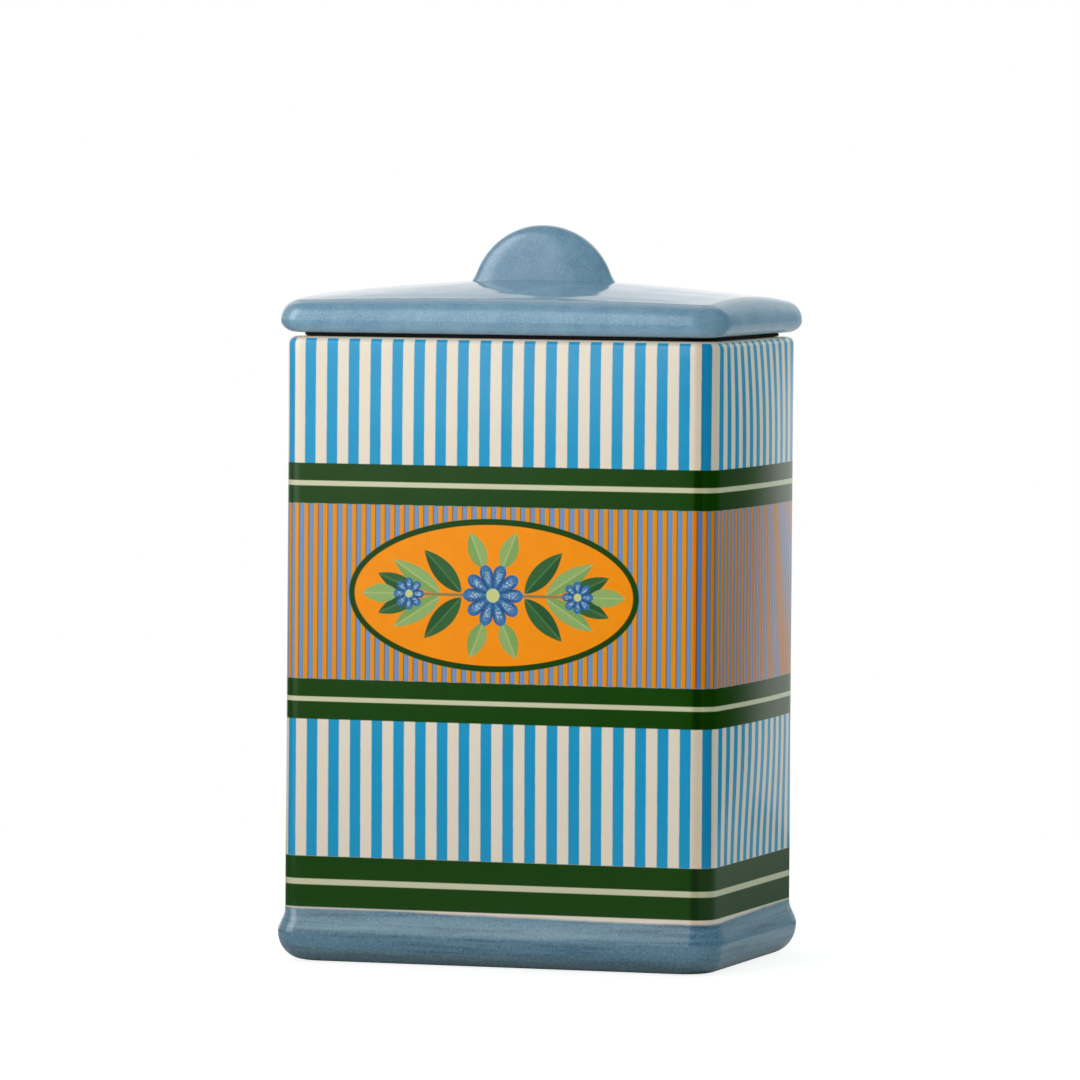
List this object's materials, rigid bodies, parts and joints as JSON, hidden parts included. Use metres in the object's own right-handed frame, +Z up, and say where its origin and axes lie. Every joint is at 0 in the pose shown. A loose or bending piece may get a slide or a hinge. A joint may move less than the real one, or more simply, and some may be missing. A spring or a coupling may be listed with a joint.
{
  "type": "lidded ceramic jar",
  "caption": "Rectangular glazed stoneware storage jar with a rounded foot and printed bands, and a crowned lift-off lid with a half-disc knob, a locating collar and a soft seal.",
  "frame": {"origin": "on the table under the middle of the jar", "axes": "+Z up, +X along the front from left to right, the front faces -Y"},
  "size_m": [0.1284, 0.0878, 0.2032],
  "materials": {
    "body_glaze": "glossy cream glaze with printed bands and stripes",
    "lid_glaze": "glossy mottled grey-blue glaze",
    "bare_stoneware": "unglazed, matt",
    "silicone": "matt black"
  },
  "bodies": {
    "jar": {"jar_body": "body_glaze"},
    "lid": {"lid_slab": "lid_glaze", "lid_knob": "lid_glaze", "lid_collar": "bare_stoneware", "seal_ring": "silicone"}
  },
  "joints": [
    {"name": "lid_lift", "type": "slide", "parent": "jar", "child": "lid", "axis": [0, 0, 1], "range_m": [0, 0.12]}
  ]
}
